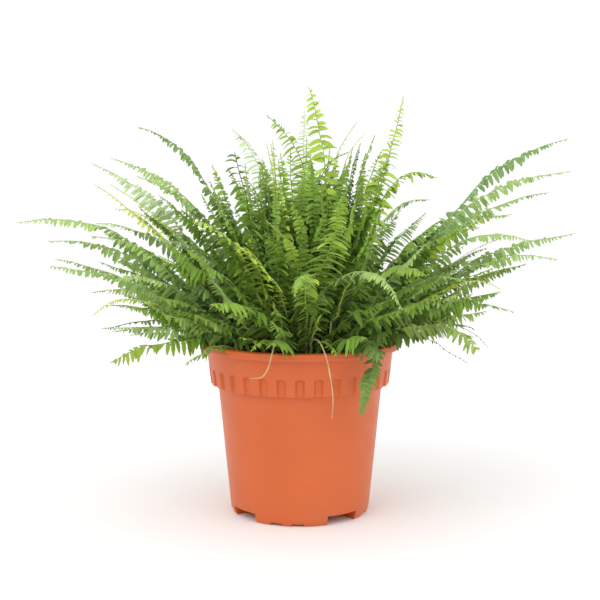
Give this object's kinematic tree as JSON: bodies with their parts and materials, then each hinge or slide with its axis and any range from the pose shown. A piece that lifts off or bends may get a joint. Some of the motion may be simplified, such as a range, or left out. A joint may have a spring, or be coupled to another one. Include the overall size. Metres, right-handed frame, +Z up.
{
  "type": "potted fern",
  "caption": "Bushy sword fern with long arching feathery fronds rising from a crown in a round tapering nursery pot with a lip, fluted collar and notched foot.",
  "frame": {"origin": "on the pot's axis, at the plane that the pot stands on", "axes": "+Z up along the pot's axis, -Y to the plant's front, +X to the right seen from the front"},
  "size_m": [0.4672, 0.3807, 0.361],
  "materials": {
    "pot_plastic": "satin moulded polypropylene, terracotta orange",
    "potting_soil": "crumbly dark peat compost",
    "crown_fibre": "scaly brown rhizome and old leaf bases",
    "runner": "smooth pale yellow-green stolon",
    "tall_frond": "living leaf, bright green, soft sheen",
    "arching_frond": "living leaf, mid green, soft sheen",
    "low_frond": "living leaf, deep green, soft sheen",
    "front_frond": "living leaf, mid green, soft sheen",
    "hanging_frond": "living leaf, mid green, soft sheen",
    "young_frond": "young living leaf, yellow-green",
    "dry_frond": "thin dry leaf stalk, brown"
  },
  "bodies": {
    "root": {"arching_frond_back_1": "arching_frond", "arching_frond_back_2": "arching_frond", "arching_frond_back_3": "arching_frond", "arching_frond_left_1": "arching_frond", "arching_frond_left_2": "arching_frond", "arching_frond_left_3": "arching_frond", "arching_frond_left_4": "arching_frond", "arching_frond_left_5": "arching_frond", "arching_frond_left_6": "arching_frond", "arching_frond_left_7": "arching_frond", "arching_frond_left_8": "arching_frond", "arching_frond_right_1": "arching_frond", "arching_frond_right_2": "arching_frond", "arching_frond_right_3": "arching_frond", "arching_frond_right_4": "arching_frond", "arching_frond_right_5": "arching_frond", "arching_frond_right_6": "arching_frond", "arching_frond_right_7": "arching_frond", "crown": "crown_fibre", "dry_frond_right_1": "dry_frond", "dry_frond_right_2": "dry_frond", "dry_frond_right_3": "dry_frond", "facing_frond_1": "front_frond", "facing_frond_2": "front_frond", "facing_frond_3": "front_frond", "facing_frond_4": "front_frond", "facing_frond_5": "front_frond", "facing_frond_6": "front_frond", "hanging_frond_front_1": "hanging_frond", "low_frond_back_1": "low_frond", "low_frond_back_2": "low_frond", "low_frond_back_3": "low_frond", "low_frond_left_1": "low_frond", "low_frond_left_2": "low_frond", "low_frond_left_3": "low_frond", "low_frond_left_4": "low_frond", "low_frond_left_5": "low_frond", "low_frond_right_1": "low_frond", "low_frond_right_2": "low_frond", "pot": "pot_plastic", "potting_soil": "potting_soil", "runner_left": "runner", "runner_right": "runner", "tall_frond_back_1": "tall_frond", "tall_frond_back_2": "tall_frond", "tall_frond_back_3": "tall_frond", "tall_frond_back_4": "tall_frond", "tall_frond_front_1": "tall_frond", "tall_frond_front_2": "tall_frond", "tall_frond_left_1": "tall_frond", "tall_frond_right_1": "tall_frond", "tall_frond_right_2": "tall_frond", "tall_frond_right_3": "tall_frond", "young_frond_front_1": "young_frond", "young_frond_front_2": "young_frond", "young_frond_left_1": "young_frond", "young_frond_left_2": "young_frond", "young_frond_left_3": "young_frond", "young_frond_right_1": "young_frond"}
  },
  "joints": []
}
